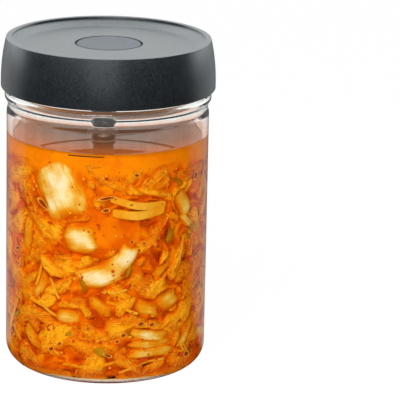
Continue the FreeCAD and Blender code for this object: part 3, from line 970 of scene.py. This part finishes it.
outline = np.vstack((
    [(0, STEM_TOP), (STEM, STEM_TOP), (STEM, STEM_LOW + STEM_NECK)],
    arc((STEM - STEM_ROUND - STEM_STEP, STEM_LOW + STEM_ROUND), STEM_ROUND, 0, -90, 5),
    [(0, STEM_LOW)],
))
points, faces = turned(outline, 64, PRESS_X)

# Black moulded plastic, smooth.
black, tree = new_material("moulded_black_plastic")
place = add(tree, "TexCoord")
cloud = add(tree, "TexNoise", {"Vector": place.outputs["Object"], "Scale": 300.0})
shade = add(tree, "ValToRGB", {0: cloud}, stops=[(0.3, "#141416"), (0.7, "#1E1E20")])
skin = add(tree, "BsdfPrincipled", {"Base Color": shade, "Roughness": 0.35})
add(tree, "OutputMaterial", {"Surface": skin})
stem = make_piece("stem", points, faces, black, crease=30)
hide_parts("press_stem")

widest = KNOB_TOP - KNOB_SIDE
t = np.radians(np.linspace(0, 90, 12))
bowl = np.column_stack((SHANK + (KNOB - SHANK) * np.cos(t), widest - KNOB_BOWL * np.sin(t)))
outline = np.vstack((
    [(0, KNOB_TOP), (KNOB_FLAT - KNOB_ROUND, KNOB_TOP)],
    arc((KNOB_FLAT - KNOB_ROUND, KNOB_TOP - KNOB_ROUND), KNOB_ROUND, 90, 14, 5),
    [(KNOB - 0.04, widest + 0.2)],
    bowl,
    [(SHANK, KNOB_LOW + SHANK_ROUND)],
    arc((SHANK - SHANK_ROUND, KNOB_LOW + SHANK_ROUND), SHANK_ROUND, 0, -90, 5),
    [(0, KNOB_LOW)],
))
points, faces = turned(outline, 96, PRESS_X)

# Stainless steel, turned and polished, with faint rings from the lathe.
steel, tree = new_material("turned_stainless_steel")
place = add(tree, "TexCoord")
rings = add(tree, "TexWave", {"Vector": place.outputs["Object"], "Scale": 400.0, "Distortion": 0.4},
            wave_type="BANDS", bands_direction="Z")
bump = add(tree, "Bump", {"Strength": 0.08, "Distance": 0.0001, "Height": rings})
skin = add(tree, "BsdfPrincipled", {
    "Base Color": srgb("#E4E0D8"), "Metallic": 1.0, "Roughness": 0.22, "Normal": bump})
add(tree, "OutputMaterial", {"Surface": skin})
knob = make_piece("knob", points, faces, steel, crease=30)
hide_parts("press_knob")


# ----------------------------------------------------------
# Print. A thin black line on the glass marks how far the jar may be filled.

PRINT_OUT = BODY + 0.03
# Its ends in degrees from the front, its middle height and its thickness.
LINE_FROM = -22.2
LINE_TO = -1.9
LINE_HEIGHT = 126.8
LINE_THICK = 0.6
LINE_STEPS = 40

a = np.radians(np.linspace(LINE_FROM, LINE_TO, LINE_STEPS))
rows = np.array([-0.5, 0.5])[:, None] * LINE_THICK + LINE_HEIGHT
front = np.stack((PRINT_OUT * np.sin(a) + 0 * rows, -PRINT_OUT * np.cos(a) + 0 * rows, rows + 0 * a), -1)

# Enamel ink, screen-printed and baked on: black with a warm tone, and matt.
ink, tree = new_material("screen_print_ink")
place = add(tree, "TexCoord")
cloud = add(tree, "TexNoise", {"Vector": place.outputs["Object"], "Scale": 900.0})
shade = add(tree, "ValToRGB", {0: cloud}, stops=[(0.3, "#140A06"), (0.7, "#22140E")])
skin = add(tree, "BsdfPrincipled", {"Base Color": shade, "Roughness": 0.5})
add(tree, "OutputMaterial", {"Surface": skin})
faces = grid_faces(2, LINE_STEPS, closed=False)
make_piece("fill_line", front.reshape(-1, 3), faces, ink, merge=False)


# ----------------------------------------------------------
# Stage. A white table in a white studio, darker in front of the jar than behind it, so that the
# glass keeps bright edges and a clear middle.

FRONT_DARK = 0.01
REAR_DIM = 0.45
TABLE_SHARE = 0.96
WHITE = 1.02
TABLE_GLOW = 0.35
TABLE_MIRRORED = 0.42
ROOM_MIRRORED = 2.0
ROOM_AHEAD = 0.54
ROOM_BEHIND = 0.2
TABLE_SIZE = 6.0


def studio(tree, way, bright):
    """Brightness of the room by direction: dark low in front, bright behind and above."""
    unit = add(tree, "VectorMath", {0: way}, operation="NORMALIZE")
    parts = add(tree, "SeparateXYZ", {0: unit})
    rise = add(tree, "MapRange", {0: parts.outputs["Y"], 1: 0.12, 2: 0.36, 3: FRONT_DARK, 4: bright},
               interpolation_type="SMOOTHSTEP")
    fall = add(tree, "MapRange", {0: parts.outputs["Y"], 1: 0.8, 2: 0.96, 3: 1.0, 4: REAR_DIM},
               interpolation_type="SMOOTHSTEP")
    low = add(tree, "Math", {0: rise, 1: fall}, operation="MULTIPLY")
    above = add(tree, "MapRange", {0: parts.outputs["Z"], 1: 0.3, 2: 0.55, 3: 0.0, 4: bright},
                interpolation_type="SMOOTHSTEP")
    return add(tree, "Math", {0: low, 1: above}, operation="MAXIMUM")


def seen_white(tree, way, bright):
    """Three numbers: 1 for a ray of the eye, 1 for a mirrored one, and the brightness that each meets."""
    path = add(tree, "LightPath")
    eye = add(tree, "Math", {0: path.outputs["Is Camera Ray"], 1: path.outputs["Is Transmission Ray"]},
              operation="MAXIMUM")
    level = add(tree, "Mix", {0: eye, 2: studio(tree, way, bright), 3: WHITE})
    return eye, path.outputs["Is Glossy Ray"], level


# White paint, matt. The eye sees it at the brightness of the room, so that it runs into it.
table_paint, tree = new_material("white_table")
place = add(tree, "TexCoord")
eye, mirrored, bright = seen_white(tree, place.outputs["Object"], TABLE_MIRRORED)
paint = add(tree, "BsdfDiffuse", {"Color": srgb("#F2F2F2")})
lit = add(tree, "Emission", {"Strength": TABLE_GLOW})
soft = add(tree, "AddShader", {0: paint, 1: lit})
glow = add(tree, "Emission", {"Strength": bright})
path = add(tree, "LightPath")
bounced = add(tree, "MixShader", {0: path.outputs["Is Diffuse Ray"], 1: paint, 2: soft})
share = add(tree, "Math", {0: eye, 1: TABLE_SHARE}, operation="MULTIPLY")
either = add(tree, "Math", {0: share, 1: mirrored}, operation="MAXIMUM")
mixed = add(tree, "MixShader", {0: either, 1: bounced, 2: glow})
add(tree, "OutputMaterial", {"Surface": mixed})
mesh = bpy.data.meshes.new("table")
corners = np.array([(x, y, 0.0) for y in (-1, 1) for x in (-1, 1)]) * TABLE_SIZE / 2
mesh.from_pydata(corners, [], [(0, 1, 3, 2)])
mesh.materials.append(table_paint)
table = bpy.data.objects.new("table", mesh)
bpy.context.scene.collection.objects.link(table)

world = bpy.data.worlds.new("studio")
world.use_nodes = True
tree = world.node_tree
tree.nodes.clear()
place = add(tree, "TexCoord")
eye, mirrored, bright = seen_white(tree, place.outputs["Generated"], ROOM_MIRRORED)
parts = add(tree, "SeparateXYZ", {0: place.outputs["Generated"]})
ahead = add(tree, "MapRange", {0: parts.outputs["Y"], 1: -0.9, 2: 0.4, 3: ROOM_AHEAD, 4: ROOM_BEHIND})
room = add(tree, "Background", {"Color": (1, 1, 1, 1), "Strength": ahead})
white = add(tree, "Background", {"Color": (1, 1, 1, 1), "Strength": bright})
either = add(tree, "Math", {0: eye, 1: mirrored}, operation="MAXIMUM")
mixed = add(tree, "MixShader", {0: either, 1: room, 2: white})
add(tree, "OutputWorld", {"Surface": mixed})
bpy.context.scene.world = world

# Soft lamps: a key above the jar, a low wide one in front and one at the left. They point at the
# axis at this height in metres.
LAMP_AIM = 0.09
# name, azimuth from the front, elevation, distance and width in metres, power in watts
LAMPS = [
    ("key", -14, 46, 1.3, 0.6, 9.0),
    ("front", -6, 11, 1.5, 0.9, 2.2),
    ("side", -44, 30, 1.5, 0.7, 1.6),
]
for name, azimuth, elevation, distance, width, power in LAMPS:
    lamp = bpy.data.lights.new(name, "AREA")
    lamp.size = width
    lamp.energy = power
    stand = bpy.data.objects.new(name, lamp)
    spin = Matrix.Rotation(math.radians(azimuth), 4, "Z")
    tip = Matrix.Rotation(math.radians(90 - elevation), 4, "X")
    stand.matrix_world = (
        Matrix.Translation((0, 0, LAMP_AIM)) @ (spin @ tip) @ Matrix.Translation((0, 0, distance)))
    bpy.context.scene.collection.objects.link(stand)

# Camera: above the lid, looking 15.6 degrees down. Its angles are in radians, its lens in mm.
CAMERA_PLACE = (0.0, -1.475, 0.50172)
YAW = 0.03403
PITCH = 0.27236
ROLL = 0.02205
LENS = 255.74
lens = bpy.data.cameras.new("camera")
lens.sensor_width = 36.0
lens.lens = LENS
lens.clip_start = 0.01
lens.clip_end = 50.0
camera = bpy.data.objects.new("camera", lens)
camera.matrix_world = (
    Matrix.Translation(CAMERA_PLACE)
    @ Matrix.Rotation(-YAW, 4, "Z")
    @ Matrix.Rotation(math.pi / 2 - PITCH, 4, "X")
    @ Matrix.Rotation(ROLL, 4, "Z")
)
bpy.context.scene.collection.objects.link(camera)
bpy.context.scene.camera = camera
bpy.context.scene.view_settings.view_transform = "Standard"
